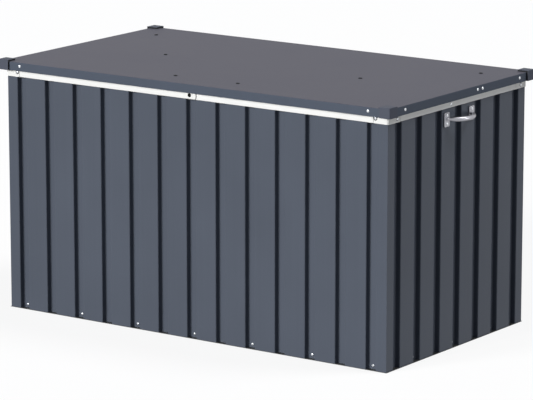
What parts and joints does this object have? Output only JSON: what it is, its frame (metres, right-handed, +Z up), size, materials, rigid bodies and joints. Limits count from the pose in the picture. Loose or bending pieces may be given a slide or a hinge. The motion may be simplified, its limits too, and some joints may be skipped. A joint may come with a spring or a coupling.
{
  "type": "cushion box",
  "caption": "Rectangular outdoor cushion box of ribbed sheet steel with a white top rail and a rear-hinged flat lid on gas struts, cam lock and side handles.",
  "frame": {"origin": "on the ground under the middle of the box", "axes": "+X along the box to the right seen from the front, +Y from the front to the hinged back, +Z up"},
  "size_m": [1.809, 0.962, 0.9495],
  "materials": {
    "anthracite_wall": "satin",
    "anthracite_lid": "satin",
    "white_rail": "satin",
    "white_plastic": "satin",
    "cap_plastic": "satin",
    "galvanised": "galvanised",
    "zinc_screw": "zinc plated",
    "dark_screw": "satin",
    "handle_casting": "zinc plated casting",
    "lock_black": "satin",
    "strut_black": "satin",
    "rod_chrome": "polished",
    "black_rubber": "matt"
  },
  "bodies": {
    "root": {"base_rail_back": "galvanised", "base_rail_front": "galvanised", "base_rail_left": "galvanised", "base_rail_right": "galvanised", "base_screws": "zinc_screw", "corner_post_back_left": "galvanised", "corner_post_back_right": "galvanised", "corner_post_front_left": "galvanised", "corner_post_front_right": "galvanised", "floor_bearer": "galvanised", "floor_left": "galvanised", "floor_right": "galvanised", "handle_left": "handle_casting", "handle_right": "handle_casting", "handle_screws": "zinc_screw", "hinge_lower_leaves": "galvanised", "hinge_lower_screws": "zinc_screw", "hinge_pins": "zinc_screw", "lock_escutcheon": "white_plastic", "lock_housing": "lock_black", "lock_nut": "zinc_screw", "rail_screws": "zinc_screw", "strut_foot_bracket_left": "galvanised", "strut_foot_bracket_right": "galvanised", "top_corner_back_left": "white_plastic", "top_corner_back_right": "white_plastic", "top_corner_front_left": "white_plastic", "top_corner_front_right": "white_plastic", "top_rail_back": "white_rail", "top_rail_front": "white_rail", "top_rail_left": "white_rail", "top_rail_right": "white_rail", "wall_back": "anthracite_wall", "wall_front": "anthracite_wall", "wall_left": "anthracite_wall", "wall_right": "anthracite_wall"},
    "lid": {"hinge_upper_leaves": "galvanised", "hinge_upper_screws": "zinc_screw", "lid_brace_left": "galvanised", "lid_brace_right": "galvanised", "lid_buffers": "black_rubber", "lid_cap_back_left": "cap_plastic", "lid_cap_back_right": "cap_plastic", "lid_cap_front_left": "cap_plastic", "lid_cap_front_right": "cap_plastic", "lid_flange_screws": "zinc_screw", "lid_frame": "galvanised", "lid_hook": "galvanised", "lid_panel": "anthracite_lid", "lid_top_screws": "dark_screw", "strut_head_bracket_left": "galvanised", "strut_head_bracket_right": "galvanised"},
    "strut_tube_right": {"strut_tube_right": "strut_black"},
    "strut_rod_right": {"strut_rod_right": "rod_chrome"},
    "strut_tube_left": {"strut_tube_left": "strut_black"},
    "strut_rod_left": {"strut_rod_left": "rod_chrome"},
    "lock_barrel": {"lock_barrel": "lock_black", "lock_cam": "zinc_screw", "lock_cam_screw": "zinc_screw"}
  },
  "joints": [
    {"name": "lid_hinge", "type": "hinge", "parent": "root", "child": "lid", "pos_m": [0, 0.468, 0.905], "axis": [-1, 0, 0], "range_deg": [0, 80]},
    {"name": "strut_pivot_right", "type": "hinge", "parent": "root", "child": "strut_tube_right", "pos_m": [0.808, 0.4, 0.8], "axis": [-1, 0, 0], "range_deg": [0, 69.27]},
    {"name": "strut_slide_right", "type": "slide", "parent": "strut_tube_right", "child": "strut_rod_right", "axis": [0, -0.9163, 0.4005], "range_m": [0, 0.14602]},
    {"name": "strut_pivot_left", "type": "hinge", "parent": "root", "child": "strut_tube_left", "pos_m": [-0.808, 0.4, 0.8], "axis": [-1, 0, 0], "range_deg": [0, 69.27]},
    {"name": "strut_slide_left", "type": "slide", "parent": "strut_tube_left", "child": "strut_rod_left", "axis": [0, -0.9163, 0.4005], "range_m": [0, 0.14602]},
    {"name": "lock_turn", "type": "hinge", "parent": "root", "child": "lock_barrel", "pos_m": [0, -0.456, 0.901], "axis": [0, 1, 0], "range_deg": [0, 90]}
  ],
  "couplings": [
    {"joint": "strut_pivot_right", "follows": "lid_hinge", "ratio": 0.86586},
    {"joint": "strut_slide_right", "follows": "lid_hinge", "m_per_rad": 0.10458},
    {"joint": "strut_pivot_left", "follows": "lid_hinge", "ratio": 0.86586},
    {"joint": "strut_slide_left", "follows": "lid_hinge", "m_per_rad": 0.10458}
  ]
}
